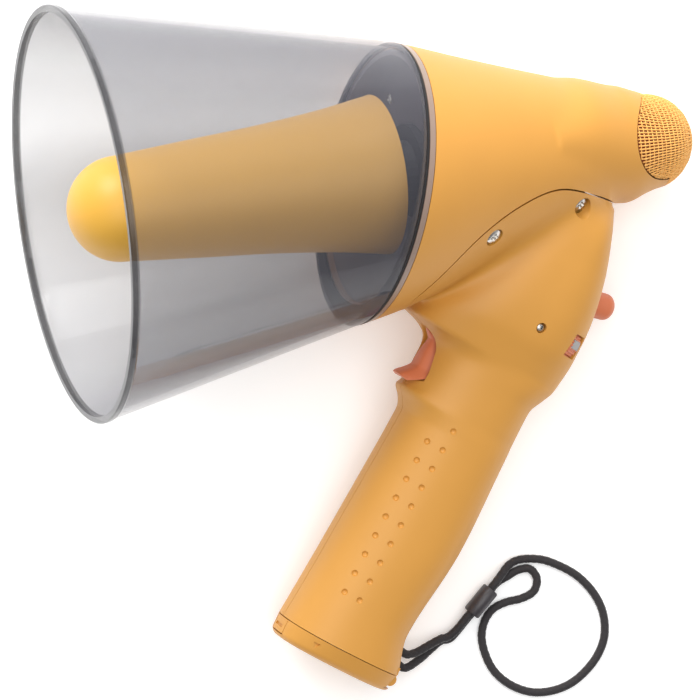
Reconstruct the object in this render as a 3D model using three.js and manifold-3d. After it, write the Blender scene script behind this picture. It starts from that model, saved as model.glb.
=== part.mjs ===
// A handheld megaphone lying on its right side, with its wrist strap laid out beside the handle.
// Millimetres. The row frame has +Z up from the surface that the megaphone lies on, and its origin
// under the middle of the megaphone. Inside it, the device frame has x from the mouth of the horn
// to the microphone, z up the megaphone as it is held, and y to its right.
import * as THREE from 'three';
import { mergeVertices } from 'three/addons/utils/BufferGeometryUtils.js';
import Module from 'manifold-3d';

const wasm = await Module();
wasm.setup();

const degrees = THREE.MathUtils.degToRad;

// Driving dimensions
const GAP = 0.3;                    // clearance between pieces that touch
const WALL = 2.2;                   // moulded casing wall
const SPLIT = 0.15;                 // half of the gap between the two handle halves

const MOUTH_RADIUS = 78;            // the bell is 156 across
const BELL_TAPER = 0.212;           // radius lost per millimetre of bell
const BELL_WALL = 2.3;
const JOINT_X = 119.2;              // where the slanted bell joint crosses the horn axis
const JOINT_TILT = degrees(15.1);
const GASKET = [GAP, 1.2];          // distances behind the joint plane
const FLANGE = [1.5, 3.85];
const BODY_START = 4.15;

const FLOOR_X = 138;                // front of the base cup's floor
const THROAT_RADIUS = 9.5;
const REFLECTOR_WALL = 2;

const RAKE = degrees(34.8);         // the handle leans forward by this much
const GRIP_BOTTOM = 96.5;           // all grip sizes are distances down the handle from the horn axis
const COVER_TOP = 96.8;
const COVER_BOTTOM = 104.5;
const GRIP_CENTRE = 180.6;          // distance of the grip's axis behind the raked origin
const LEDGE = -80.9;                // height of the ledge under the trigger

const TRIGGER_PIVOT = [150, -34];
const CHIN_GAP = [0.8, 0.3];        // under the trigger's front corner and under its rear
const BUTTON_PLACE = [206.3, -61.6];
const BUTTON_TILT = degrees(21.4);
const DIAL_PLACE = [194, -15.6, 49];     // distance back, y and height in the raked frame
const DIAL_TURN = degrees(-55);     // its axis is parallel to the casing's surface there
const DIAL_RADIUS = 8;
const DIAL_HALF = 3.2;              // half of its width

const CELL_RADIUS = 7.2;
const CELL_LENGTH = 50.2;
const CELL_RING = 8.6;              // radius of the ring on which the three cell columns stand
const CELLS_TOP = -10;

const CORD_RADIUS = 1.5;
const STRAP_HOLES = [88, 93.2];      // distances down the handle
// The cord's middle line in the row frame: out of the upper hole, through the slider, around the
// wrist loop, back through the slider and into the lower hole
const STRAP_ROUTE = [
  [-10.3, -123.2, 14.8], [-7.1, -125.4, 13.6], [-4.8, -127.3, 12.7], [-0.6, -127.3, 10.6],
  [5.0, -125.6, 8.4], [10.6, -123.9, 6.8], [13.2, -123.8, 5.9], [17.0, -121.6, 5.6],
  [21.2, -117.8, 5.6], [26.8, -112.8, 5.6], [32.0, -108.1, 5.6], [35.4, -105.0, 5.6],
  [38.4, -102.3, 4.4], [42.0, -99.3, 2.5], [46.2, -98.0, 1.7], [54.9, -99.1, 1.6],
  [62.3, -102.8, 1.6], [69.1, -108.1, 1.6], [74.6, -115.8, 1.6], [77.2, -124.0, 1.6],
  [76.6, -133.0, 1.6], [73.0, -140.2, 1.6], [67.2, -146.0, 1.6], [60.4, -150.1, 1.6],
  [52.4, -151.9, 1.6], [43.8, -151.0, 1.6], [35.8, -146.6, 1.6], [30.4, -140.4, 1.6],
  [27.8, -133.0, 1.6], [27.4, -125.8, 1.6], [29.6, -119.8, 1.6], [33.4, -115.9, 1.6],
  [39.0, -114.0, 1.6], [45.4, -113.4, 1.6], [50.7, -111.2, 1.6], [52.5, -106.3, 1.6],
  [50.1, -102.2, 1.6], [45.4, -102.0, 1.6], [41.0, -103.7, 1.8], [36.1, -105.7, 2.5],
  [32.6, -108.8, 2.5], [27.5, -113.5, 2.5], [21.9, -118.5, 2.5], [17.7, -122.4, 2.5],
  [14.3, -125.0, 2.5], [10.8, -125.2, 3.2], [5.4, -128.0, 5.2], [0.4, -130.7, 8.0],
  [-6.4, -132.6, 11.9], [-8.8, -130.6, 12.9], [-12.3, -128.1, 14.2]];
const STRAP_STEPS = 66;
const SLIDER_PLACE = [28.6, -111.8];
const SLIDER_TURN = degrees(42.1);
const SLIDER_LENGTH = 12.4;
const SLIDER_HALF = [3.5, 4.2];     // half its width and half its height

const ROUND = 32;                   // facets around the horn and the rear body
const AROUND = 20;                  // facets around the grip and the microphone head

// The pose in which the megaphone lies: on the side of its body, its casing and the handle's end
const LIE = new THREE.Euler(degrees(-78.035), degrees(12.357), 0, 'ZYX');

// Materials
const finish = (color, roughness, metalness = 0) => () =>
  new THREE.MeshStandardMaterial({ color, roughness, metalness });
const yellow = finish(0xe9b45c, 0.5);
const nose = finish(0xefc04c, 0.45);
const coral = finish(0xe07a58, 0.5);
const smoke = () => new THREE.MeshStandardMaterial(
  { color: 0xaeb0b8, roughness: 0.08, metalness: 0, transparent: true, opacity: 0.35 });
const charcoal = finish(0x6c666c, 0.55);
const rubber = finish(0x1d1b1b, 0.8);
const nickel = finish(0xc9c6bf, 0.25, 1);
const steel = finish(0x8f9296, 0.4, 1);
const ferrite = finish(0x2e2d30, 0.7);
const copper = finish(0xb5713c, 0.35, 1);
const foam = finish(0x26262a, 0.95);
const board = finish(0x2f6b3c, 0.6);
const darkPlastic = finish(0x25262a, 0.6);
const sleeve = finish(0x2b4f8a, 0.4);
const braid = finish(0x1e1a1c, 0.85);

// Solids
function signedVolume(positions, index) {
  const a = new THREE.Vector3();
  const b = new THREE.Vector3();
  const c = new THREE.Vector3();
  let six = 0;
  for (let i = 0; i < index.length; i += 3) {
    a.fromArray(positions, 3 * index[i]);
    b.fromArray(positions, 3 * index[i + 1]);
    c.fromArray(positions, 3 * index[i + 2]);
    six += a.dot(b.cross(c));
  }
  return six;
}

function solid(geometry) {
  const bare = geometry.clone();
  bare.deleteAttribute('normal');
  bare.deleteAttribute('uv');
  const merged = mergeVertices(bare, 1e-4);
  const all = Array.from(merged.index.array);
  const triangles = [];
  for (let i = 0; i < all.length; i += 3) {
    const [a, b, c] = all.slice(i, i + 3);
    if (a !== b && b !== c && c !== a) triangles.push(a, b, c);
  }
  const vertProperties = merged.attributes.position.array;
  if (signedVolume(vertProperties, triangles) < 0) triangles.reverse();
  const triVerts = new Uint32Array(triangles);
  return new wasm.Manifold(new wasm.Mesh({ numProp: 3, vertProperties, triVerts }));
}

function geometryOf(body) {
  const found = body.getMesh();
  const geometry = new THREE.BufferGeometry();
  geometry.setAttribute('position', new THREE.BufferAttribute(found.vertProperties, 3));
  geometry.setIndex(new THREE.BufferAttribute(found.triVerts, 1));
  geometry.computeVertexNormals();
  return geometry;
}

const union = (...bodies) => bodies.reduce((sum, body) => sum.add(body));

// A body turned about the x axis: profile points are [x, radius], on the axis or a closed ring
function turnedGeometry(profile, segments) {
  const points = profile.map(([x, radius]) => new THREE.Vector2(radius, x));
  return new THREE.LatheGeometry(points, segments).rotateZ(-Math.PI / 2);
}
const turned = (profile, segments = 20) => solid(turnedGeometry(profile, segments));
const rod = (x0, x1, radius, segments = 16) =>
  turned([[x0, 0], [x0, radius], [x1, radius], [x1, 0]], segments);
const ring = (x0, x1, inner, outer, segments = 20) =>
  turned([[x0, inner], [x0, outer], [x1, outer], [x1, inner], [x0, inner]], segments);

// A side outline in x and z, with thickness from y0 to y1
function slabGeometry(outline, y0, y1) {
  const shape = outline instanceof THREE.Shape ? outline : new THREE.Shape(
    outline.map(([x, z]) => new THREE.Vector2(x, z)));
  const options = { depth: y1 - y0, bevelEnabled: false, curveSegments: 8 };
  return new THREE.ExtrudeGeometry(shape, options).rotateX(Math.PI / 2).translate(0, y1, 0);
}
const slab = (outline, y0, y1) => solid(slabGeometry(outline, y0, y1));
const block = (x0, x1, y0, y1, z0, z1) => slab([[x0, z0], [x1, z0], [x1, z1], [x0, z1]], y0, y1);

// A closed form with rounded sections. Each station is { centre, across, halfAcross, halfWidth,
// squareness }: across is the section's in-plane direction, y is always its other direction, and a
// squareness of 2 is an ellipse.
function loft(stations, around = AROUND) {
  const geometry = new THREE.CylinderGeometry(1, 1, 1, around, stations.length - 1);
  const position = geometry.attributes.position;
  for (let i = 0; i < position.count; i++) {
    const level = Math.round((0.5 - position.getY(i)) * (stations.length - 1));
    const { centre, across, halfAcross, halfWidth, squareness = 2 } = stations[level];
    const power = 2 / squareness;
    const c = position.getX(i);
    const s = position.getZ(i);
    const u = halfAcross * Math.sign(c) * Math.abs(c) ** power;
    const v = halfWidth * Math.sign(s) * Math.abs(s) ** power;
    position.setXYZ(i, centre[0] + u * across[0], v, centre[1] + u * across[1]);
  }
  return solid(geometry);
}

// The raked frame of the handle: x is the distance behind the raked origin, and -z is the
// distance down the handle
const raked = new THREE.Matrix4().makeRotationY(RAKE);
const inRake = (body) => body.transform(raked.elements);
const backwards = [Math.cos(RAKE), -Math.sin(RAKE)];
const downwards = [-Math.sin(RAKE), -Math.cos(RAKE)];
const rakedPoint = (back, down) => [
  back * backwards[0] + down * downwards[0],
  back * backwards[1] + down * downwards[1]];

// Everything behind a plane that is parallel to the bell joint
function behindJoint(distance) {
  const away = new THREE.Matrix4().makeRotationY(JOINT_TILT);
  away.setPosition(JOINT_X, 0, 0);
  const reach = 200;
  return block(distance, 2 * reach, -reach, reach, -reach, reach).transform(away.elements);
}

// Outer forms
const BODY_PROFILE = [[100, 56.9], [109, 55.2], [123, 52.3], [136, 48.6], [158, 41.2], [178, 34.8],
  [198, 28.6], [216, 22.8], [222, 19]];
// [x, centre z, half height, half width] of the boss that carries the microphone
const HEAD = [[186, 8.5, 14, 31], [205, 5.2, 22.1, 27.2], [222, -0.5, 23.1, 22.6], [231, -0.9, 20.2, 20.2],
  [238, -1.1, 18.5, 18.6], [243, -1.1, 16.7, 16.8], [248, -1.1, 12.8, 12.9], [251.5, -1.1, 7.8, 7.8],
  [252.9, -1.1, 3, 3]];
// [distance down the handle, front, rear, half width, squareness of the section]
const GRIP = [[-103, 176, 191, 17, 2.6], [-95, 166, 193.4, 24, 2.8], [-77, 154, 200.6, 27, 3],
  [-60, 147, 205, 27.5, 3], [-44, 141.5, 206.8, 26, 3], [-36, 138.6, 207.6, 23.5, 2.8],
  [-31, 138.6, 207.6, 22, 2.7], [-28.5, 146.6, 207.2, 21.4, 2.6], [-25, 152, 205.6, 21, 2.5],
  [-18, 153.4, 202.6, 20.3, 2.5], [-6, 152.6, 203.3, 19.9, 2.4], [-3.6, 151.4, 203.5, 19.8, 2.4],
  [0.5, 154.8, 203.7, 19.8, 2.4], [5, 156.9, 204, 19.6, 2.4], [43, 156.3, 206.2, 19.2, 2.4],
  [80, 155.5, 203.4, 19, 2.4], [GRIP_BOTTOM, 154.8, 208.4, 19.2, 2.4]];

function coneForm(inset) {
  const points = BODY_PROFILE.map(([x, radius]) => [x, radius - inset]);
  const last = points.length - 1;
  points[last][0] -= inset;
  return turned([[points[0][0], 0], ...points, [points[last][0], 0]], ROUND);
}

function headForm(inset) {
  const stations = HEAD.map(([x, z, halfHeight, halfWidth], i) => ({
    centre: [i === HEAD.length - 1 ? x - inset : x, z],
    across: [0, 1],
    halfAcross: Math.max(halfHeight - inset, 1),
    halfWidth: Math.max(halfWidth - inset, 1),
  }));
  return loft(stations);
}

function gripForm(inset, extra = 0) {
  const stations = GRIP.map(([down, front, rear, halfWidth, squareness]) => ({
    centre: rakedPoint((front + rear) / 2, down === GRIP_BOTTOM ? down + extra : down),
    across: backwards,
    halfAcross: (rear - front) / 2 - inset,
    halfWidth: halfWidth - inset,
    squareness,
  }));
  return loft(stations);
}

const outerForm = union(coneForm(0), headForm(0), gripForm(0));
const innerForm = union(coneForm(WALL), headForm(WALL), gripForm(WALL, 6));
const beforeBody = block(0, 200, -90, 90, -66, 90).subtract(behindJoint(BODY_START));
const shell = outerForm.subtract(innerForm).subtract(beforeBody);

// The seam between the rear body and the handle halves, seen from the side
const SEAM = [[121, -62], [122.4, -45.5], [131, -35], [146.5, -21], [165, -11.8], [183.5, -8.6],
  [204.7, -15.8], [219, -23.4], [240, -34]];
function seamOutline() {
  const curve = new THREE.SplineCurve(SEAM.map(([x, z]) => new THREE.Vector2(x, z)));
  const points = curve.getPoints(16).map(({ x, y }) => [x, y]);
  return [...points, [300, -34], [300, -260], [0, -260], [0, -150], [100, -100], [121, -80]];
}
const belowSeam = slab(seamOutline(), -80, 80);

// Screw places on the left casing half; the right half mirrors the first two.
// Each has the head's centre on the surface, the outward direction and the head radius.
const coneOutward = new THREE.Vector3(0.28, -0.81, -0.51).normalize();
const SCREWS = [
  { at: [154.3, -35.8, -22.7], out: coneOutward, head: 3.5, length: 10 },
  { at: [195.6, -23.6, -17.6], out: coneOutward, head: 3.5, length: 10 },
  { at: [175.3, -26.2, -62.4], out: new THREE.Vector3(0, -1, 0), head: 1.9, length: 9 },
];

function aim({ at, out }, side = 1) {
  const outward = out.clone();
  outward.y *= side;
  const turn = new THREE.Quaternion().setFromUnitVectors(new THREE.Vector3(1, 0, 0), outward);
  const place = new THREE.Vector3(at[0], at[1] * side, at[2]);
  return new THREE.Matrix4().compose(place, turn, new THREE.Vector3(1, 1, 1));
}

// Cuts and bosses are made about the x axis, pointing out, and then aimed
const screwBoss = ({ head, length }) => rod(-length - 1, -1.2, head + 1.2, 16);
const screwRecess = ({ head, length }) => union(
  rod(-2, 12, head + 0.4, 20),
  rod(-length - 3, -1.9, head * 0.43 + GAP, 12));
function screwForm({ head, length }) {
  return turned([[-length, 0], [-length, head * 0.43], [-1.7, head * 0.43], [-1.7, head],
    [-0.7, head * 0.92], [-0.25, head * 0.55], [-0.25, 0]], 12);
}

// Openings of the casing
const button = new THREE.Matrix4().makeRotationY(BUTTON_TILT).setPosition(
  BUTTON_PLACE[0], 0, BUTTON_PLACE[1]);
const atButton = (body) => body.transform(button.elements);
const atDial = (body) => inRake(body.transform(
  new THREE.Matrix4().makeRotationZ(DIAL_TURN).setPosition(...DIAL_PLACE).elements));

// The trigger's arch, as [height above the raked origin, half width]
const TRIGGER_ARCH = [[-20, 8.9], [12, 8.9], [15.6, 8.4], [18.9, 7.6], [22.7, 6.4], [25, 5.3], [26.8, 3.9],
  [27.8, 2]];
const ARCH_GAP = 0.55;

function triggerSlot() {
  const edge = TRIGGER_ARCH.map(([up, half]) => [up + (up > 20 ? ARCH_GAP : 0), half + ARCH_GAP]);
  const arch = [...edge, ...edge.map(([up, half]) => [up, -half]).reverse()];
  const facing = slab(arch.map(([up, y]) => [y, up]), 120, 158).transform(
    new THREE.Matrix4().makeRotationZ(-Math.PI / 2).elements);
  return inRake(facing).intersect(block(90, 200, -20, 20, LEDGE, 0));
}

function casingCuts() {
  const window = block(3, 20, -DIAL_HALF - 0.6, DIAL_HALF + 0.6, -4.9, 4.7);
  const wheelRoom = crossRod(DIAL_RADIUS + 0.5, -DIAL_HALF - 0.5, DIAL_HALF + 0.5, 24);
  const strapHole = rod(0, 10, CORD_RADIUS + 0.4, 12);
  return union(
    triggerSlot(),
    atDial(window.add(wheelRoom)),
    ...STRAP_HOLES.map((down) => inRake(strapHole.translate(200, 0, -down))),
    atButton(rod(-8, 14, 5.8, 24)));
}

function handleHalf(side) {
  const screws = side < 0 ? SCREWS : SCREWS.slice(0, 2);
  let half = shell.intersect(belowSeam).subtract(casingCuts());
  for (const screw of screws) {
    const place = aim(screw, -side);
    const boss = screwBoss(screw).transform(place.elements).intersect(outerForm);
    half = half.add(boss.intersect(belowSeam)).subtract(screwRecess(screw).transform(place.elements));
  }
  half = half.add(hingeLug(side)).subtract(inRake(hingePinForm(0.12)));
  const keep = side < 0 ? block(0, 300, -90, -SPLIT, -260, 60) : block(0, 300, SPLIT, 90, -260, 60);
  return largest(half.intersect(keep));
}

// The piece with the most volume, which drops slivers that a cut leaves loose
function largest(body) {
  const pieces = body.decompose();
  return pieces.reduce((best, piece) => (piece.volume() > best.volume() ? piece : best));
}

// Battery cover hinge: lugs on the halves, a knuckle on the cover and one pin
const HINGE = [203.4, 99.2];
const HINGE_RADIUS = 2.5;
const PIN_RADIUS = 1;
const crossRod = (radius, y0, y1, segments = 24) =>
  rod(y0, y1, radius, segments).transform(new THREE.Matrix4().makeRotationZ(Math.PI / 2).elements);
const hingePinForm = (extra) => crossRod(PIN_RADIUS + extra, -10.6 - extra, 10.6 + extra)
  .translate(HINGE[0], 0, -HINGE[1]);

function hingeLug(side) {
  const [y0, y1] = side < 0 ? [-11.4, -5] : [5, 11.4];
  const round = crossRod(HINGE_RADIUS, y0, y1).translate(HINGE[0], 0, -HINGE[1]);
  const web = block(HINGE[0] - HINGE_RADIUS, HINGE[0] + HINGE_RADIUS, y0, y1, -HINGE[1], -93.5);
  return inRake(round.add(web)).intersect(gripForm(0, 12));
}

// The nodes
const part = new THREE.Group();
const device = new THREE.Group();

function put(name, form, material, group = device) {
  const geometry = form.isBufferGeometry ? form : geometryOf(form);
  const mesh = new THREE.Mesh(geometry, material());
  mesh.name = name;
  group.add(mesh);
  return mesh;
}

function addHorn() {
  const bellRadius = (x) => MOUTH_RADIUS - BELL_TAPER * x;
  const end = 150;
  const bell = turned([[0, MOUTH_RADIUS - 2.6], [0, MOUTH_RADIUS], [2.4, MOUTH_RADIUS],
    [2.8, bellRadius(2.8)], [end, bellRadius(end)], [end, bellRadius(end) - BELL_WALL],
    [2.8, bellRadius(2.8) - BELL_WALL], [0, MOUTH_RADIUS - 2.6]], 48);
  put('bell', bell.subtract(behindJoint(0)), smoke);

  const band = (inner, outer, [near, far]) => ring(95, end, bellRadius(120) - inner, 60, ROUND)
    .intersect(coneForm(-outer)).intersect(behindJoint(near)).subtract(behindJoint(far));
  put('bell_gasket', band(4.6, 0.2, GASKET), rubber);

  const wallOut = 2.8;
  const wallIn = 4.8;
  const bowlOut = turned([[95, 0], [95, 55], [109, 55.2 - wallOut], [123, 52.3 - wallOut],
    [136, 48.6 - wallOut], [FLOOR_X + 2, 43], [FLOOR_X + 2, 0]], ROUND);
  const bowlIn = turned([[90, 0], [90, 54], [109, 55.2 - wallIn], [123, 52.3 - wallIn],
    [134, 48.8 - wallIn], [FLOOR_X, 41.5], [FLOOR_X, 0]], ROUND);
  let cup = bowlOut.intersect(behindJoint(FLANGE[0])).add(
    coneForm(0.2).intersect(behindJoint(FLANGE[0])).subtract(behindJoint(FLANGE[1])));
  cup = cup.subtract(bowlIn).subtract(rod(130, 150, THROAT_RADIUS));
  for (const place of cupScrewPlaces()) cup = cup.subtract(rod(130, 150, 1.6, 8).translate(0, ...place));
  put('base_cup', cup, charcoal);

  cupScrewPlaces().forEach(([y, z], i) => {
    const screw = turned([[145.5, 0], [145.5, 1.25], [137.7, 1.25], [137.7, 2.6], [136.6, 2.4],
      [136.1, 1.4], [136.1, 0]], 8);
    put(`base_cup_screw_${i + 1}`, screw.translate(0, y, z), nickel);
  });

  const outside = [[19.5, 19.8], [77, 24.4], [104, 27.5], [122.5, 30.6]];
  const noseArc = (radius) => [0, 22, 44, 66].map((angle) => [
    19.5 - radius * Math.cos(degrees(angle)), radius * Math.sin(degrees(angle))]);
  const inside = outside.map(([x, radius]) => [x, radius - REFLECTOR_WALL]).reverse();
  put('reflector', turned([...noseArc(19.8), ...outside, ...inside,
    ...noseArc(19.8 - REFLECTOR_WALL).reverse()], 24), nose);

  let arm = ring(42, 137.7, THROAT_RADIUS, 11.8, 24).add(ring(134.5, 137.7, THROAT_RADIUS, 18, 24));
  for (let i = 0; i < 3; i++) {
    const fin = slab([[60, 11], [104, 11], [104, 24.6], [77, 22], [60, 20.5]], -1, 1);
    const spin = new THREE.Matrix4().makeRotationX(degrees(120 * i));
    arm = arm.add(fin.transform(spin.elements));
  }
  put('tone_arm', arm.subtract(rod(30, 150, THROAT_RADIUS, 24)), darkPlastic);
}

function cupScrewPlaces() {
  return [45, 135, 225, 315].map((angle) => [
    34 * Math.cos(degrees(angle)), 34 * Math.sin(degrees(angle))]);
}

function addDriver() {
  let frame = ring(140.5, 144.5, THROAT_RADIUS, 37.5, 24);
  for (const place of cupScrewPlaces()) frame = frame.subtract(rod(130, 150, 1.6, 8).translate(0, ...place));
  put('driver_frame', frame, darkPlastic);
  put('diaphragm', turned([[145.6, 0], [146.2, 6], [148.4, 12.2], [148.4, 17.5], [149, 17.5], [149, 12.8],
    [147, 6.2], [146.3, 0]]), copper);
  put('diaphragm_ring', ring(144.8, 149.1, 17.8, 27), darkPlastic);
  put('voice_coil', ring(149.4, 155.5, 12.7, 13.3), copper);
  put('driver_top_plate', ring(149.6, 153, 13.7, 27), steel);
  put('driver_magnet', ring(153.3, 161.3, 15, 27), ferrite);
  put('driver_yoke', turned([[149.8, 0], [149.8, 12.3], [161.6, 12.3], [161.6, 27], [165.6, 27],
    [165.6, 0]]), steel);
}

function addElectronics() {
  put('circuit_board', block(171, 172.6, -23, 23, -14, 19), board);
  put('output_transformer', block(173, 186, -9, 9, -11, 5), ferrite);
  [-15, 15].forEach((y, i) => {
    put(`capacitor_${i + 1}`, rod(172.9, 184, 4, 16).translate(0, y, 8), darkPlastic);
  });
}

// Where the woven grille takes over from the body: an arc in the side view, straight below it
const GRILLE_ARC = { x: 238.4, z: 3, radius: 17.5 };
function grilleReach(inset) {
  const { x, z, radius } = GRILLE_ARC;
  const round = crossRod(radius - inset, -60, 60, 32).translate(x, 0, z);
  return round.add(block(x + inset, x + 30, -60, 60, -40, z + radius - inset));
}

function addMicrophone() {
  const body = largest(shell.subtract(belowSeam.translate(0, 0, GAP)).subtract(grilleReach(0)));
  put('rear_body', body, yellow);
  const skin = headForm(0.1).subtract(headForm(1.5)).intersect(grilleReach(GAP));
  put('mic_grille', largest(skin), coral);
  put('mic_foam', headForm(2.4).intersect(block(239.8, 250, -16, 16, -30, 30)), foam);
  put('mic_holder', ring(226, 235.5, 5.2, 8.5, 24).translate(0, 0, -1.1), rubber);
  put('mic_capsule', rod(229.5, 236, 4.8, 24).translate(0, 0, -1.1), nickel);
}

function addCasing() {
  put('handle_left', handleHalf(-1), yellow);
  put('handle_right', handleHalf(1), yellow);
  SCREWS.forEach((screw, i) => {
    put(`casing_screw_left_${i + 1}`, screwForm(screw).transform(aim(screw).elements), nickel);
    if (i < 2) {
      put(`casing_screw_right_${i + 1}`, screwForm(screw).transform(aim(screw, -1).elements), nickel);
    }
  });
  put('cover_hinge_pin', inRake(hingePinForm(0)), steel);
  put('strap_bar', inRake(crossRod(1.3, -7, 7, 12).translate(198.5, 0, -90.6)), steel);
}

// A compression spring along x, as it lies between its seats
function spring(length, radius, wire, turns) {
  const points = [];
  const steps = turns * 6;
  for (let i = 0; i <= steps; i++) {
    const angle = (2 * Math.PI * i) / 6;
    points.push(new THREE.Vector3((length * i) / steps, radius * Math.cos(angle), radius * Math.sin(angle)));
  }
  const section = new THREE.Shape();
  section.absarc(0, 0, wire, 0, 2 * Math.PI, false);
  const extrudePath = new THREE.CatmullRomCurve3(points);
  const options = { steps, curveSegments: 2, bevelEnabled: false, extrudePath };
  return solid(new THREE.ExtrudeGeometry(section, options));
}

// [height above the raked origin, front] of the trigger's finger face
const TRIGGER_FACE = [[0, 146], [6, 146.4], [8, 147.1], [9.5, 148.6], [11, 150.2], [13.8, 152], [18, 152],
  [24.6, 152.5], [26, 151.2], [27.8, 149]];
const TRIGGER_REAR = 160.2;

function triggerForm() {
  const halfWidthAt = (up) => TRIGGER_ARCH.find(([level]) => level >= up)[1];
  const face = TRIGGER_FACE.map(([up, front]) => ({
    centre: rakedPoint((front + 167) / 2, -up),
    across: backwards,
    halfAcross: (167 - front) / 2,
    halfWidth: Math.max(halfWidthAt(up), 2.4),
    squareness: 3.2,
  }));
  const chin = [[120, -73.5], [124.2, -77.4], [126.6, LEDGE + CHIN_GAP[0]], [141, LEDGE + CHIN_GAP[1]],
    [200, LEDGE + CHIN_GAP[1]], [200, 0], [120, 0]];
  const cut = slab(chin, -20, 20);
  const [pivotAt, down] = TRIGGER_PIVOT;
  const arm = slab([[155.4, 22], [TRIGGER_REAR, 22], [TRIGGER_REAR, 30], [152, 36], [150, 32], [155.4, 27.8]],
    -4, 4).add(crossRod(2.8, -4, 4).translate(pivotAt, 0, -down));
  const rear = block(140, TRIGGER_REAR, -20, 20, -10, 40);
  return loft(face).intersect(cut).add(inRake(arm)).intersect(inRake(rear));
}

function addTrigger() {
  const pinHole = crossRod(1.6, -20, 20, 16).translate(TRIGGER_PIVOT[0], 0, -TRIGGER_PIVOT[1]);
  put('trigger', triggerForm().subtract(inRake(pinHole)), coral);
  const pin = crossRod(1.5, -13.8, 13.8, 16).translate(TRIGGER_PIVOT[0], 0, -TRIGGER_PIVOT[1]);
  put('trigger_pin', inRake(pin), steel);
  const box = block(164.6, 176, -5, 5, 15.6, 30.2).subtract(rod(160, 169.5, 1.6, 12).translate(0, 0, 18.6));
  put('talk_switch', inRake(box), darkPlastic);
  put('switch_plunger', inRake(rod(160.5, 166.5, 1.2, 12).translate(0, 0, 18.6)), coral);
  put('trigger_spring', inRake(spring(2.2, 1.8, 0.25, 3).translate(161.5, 0, 25.6)), steel);
}

function addButton() {
  const dome = [0, 20, 40, 60, 80].map((angle) => [
    7.8 + 4 * Math.cos(degrees(angle)), 5.3 * Math.sin(degrees(angle))]);
  const form = turned([[11.8, 0], ...dome.slice(1), [-4.6, 5.3], [-4.6, 6.8], [-5.8, 6.8], [-5.8, 2.2],
    [-8.8, 2.2], [-8.8, 0]], 24);
  put('whistle_button', atButton(form), coral);
  put('whistle_switch', atButton(block(-17.5, -11.4, -4.5, 4.5, -4.5, 4.5)), darkPlastic);
  put('whistle_spring', atButton(spring(2.4, 3.2, 0.3, 2).translate(-10.9, 0, 0)), steel);
}

function addDial() {
  const wheel = crossRod(DIAL_RADIUS, -DIAL_HALF, DIAL_HALF, 24).subtract(crossRod(1.8, -10, 10, 16));
  put('volume_dial', atDial(wheel), coral);
  const pot = crossRod(3.3, DIAL_HALF + 0.6, 7, 20).add(crossRod(1.5, -DIAL_HALF, 5, 16));
  put('volume_pot', atDial(pot), steel);
}

const columnPlaces = (offset) => [0, 1, 2].map((i) => {
  const angle = degrees(offset + 120 * i);
  return [CELL_RING * Math.cos(angle), CELL_RING * Math.sin(angle)];
});

// A disc or rod about the handle's own axis, between two distances down the handle
const onAxis = (radius, down0, down1, segments = 20) => rod(down0, down1, radius, segments)
  .transform(new THREE.Matrix4().makeRotationY(Math.PI / 2).elements).translate(GRIP_CENTRE, 0, 0);

function addBatteries() {
  const middle = CELLS_TOP + CELL_LENGTH + GAP;
  const secondTop = middle + 1.2 + GAP;
  const end = secondTop + CELL_LENGTH;
  let tray = union(
    onAxis(15.9, CELLS_TOP - GAP - 1.6, CELLS_TOP - GAP),
    onAxis(15.9, middle, middle + 1.2),
    onAxis(15.9, end + GAP, end + GAP + 1));
  for (const [x, y] of columnPlaces(60)) {
    const reach = 13.9 / CELL_RING;
    const rail = block(-1.7, 1.7, -1.7, 1.7, -end - 1, -CELLS_TOP + 1);
    tray = tray.add(rail.translate(GRIP_CENTRE + reach * x, reach * y, 0));
  }
  put('battery_tray', inRake(tray), darkPlastic);
  columnPlaces(0).forEach(([x, y], column) => {
    [CELLS_TOP, secondTop].forEach((top, row) => {
      const cell = rod(top + 1.2, top + CELL_LENGTH, CELL_RADIUS, 16).add(rod(top, top + 2, 2.7, 8));
      const standing = cell.transform(new THREE.Matrix4().makeRotationY(Math.PI / 2).elements);
      put(`cell_${2 * column + row + 1}`, inRake(standing.translate(GRIP_CENTRE + x, y, 0)), sleeve);
    });
  });
}

function coverForm(inset, bottom) {
  const [, front, rear, halfWidth, squareness] = GRIP[GRIP.length - 1];
  const rows = [[COVER_TOP, 0], [COVER_BOTTOM - 2.4, 0], [COVER_BOTTOM - 0.9, 1], [COVER_BOTTOM, 2.6]];
  const stations = rows.map(([down, shrink], i) => ({
    centre: rakedPoint((front + rear) / 2, i === 0 ? down - bottom : down - inset),
    across: backwards,
    halfAcross: (rear - front) / 2 - shrink - inset,
    halfWidth: halfWidth - shrink - inset,
    squareness,
  }));
  return loft(stations);
}

function addCover() {
  const notch = inRake(block(HINGE[0] - 3.4, 215, -12, 12, -103.2, -90));
  const knuckle = crossRod(HINGE_RADIUS, -4.5, 4.5).add(
    block(-HINGE_RADIUS - 2, HINGE_RADIUS - 0.5, -4.5, 4.5, -4.6, 0)).translate(HINGE[0], 0, -HINGE[1]);
  const pinHole = inRake(hingePinForm(0.12));
  const latchPocket = inRake(block(150, 160, -5.4, 5.4, -103, -90));
  const cover = coverForm(0, 0).subtract(coverForm(1.8, 4)).subtract(notch)
    .add(inRake(knuckle)).subtract(pinHole).subtract(latchPocket);
  put('battery_cover', largest(cover), yellow);
  put('contact_plate', inRake(onAxis(14, COVER_TOP + 0.1, COVER_TOP + 0.7)), nickel);
  const coil = spring(2, 5, 0.35, 2).transform(new THREE.Matrix4().makeRotationY(Math.PI / 2).elements);
  put('battery_spring', inRake(coil.translate(GRIP_CENTRE, 0, -94.2)), steel);
  const tongue = block(150, 158.2, -5, 5, -102.6, -COVER_TOP - 0.1).intersect(
    coverForm(0.05, 0).transform(new THREE.Matrix4().makeRotationY(-RAKE).elements));
  put('cover_latch', inRake(tongue), yellow);
}

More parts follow.
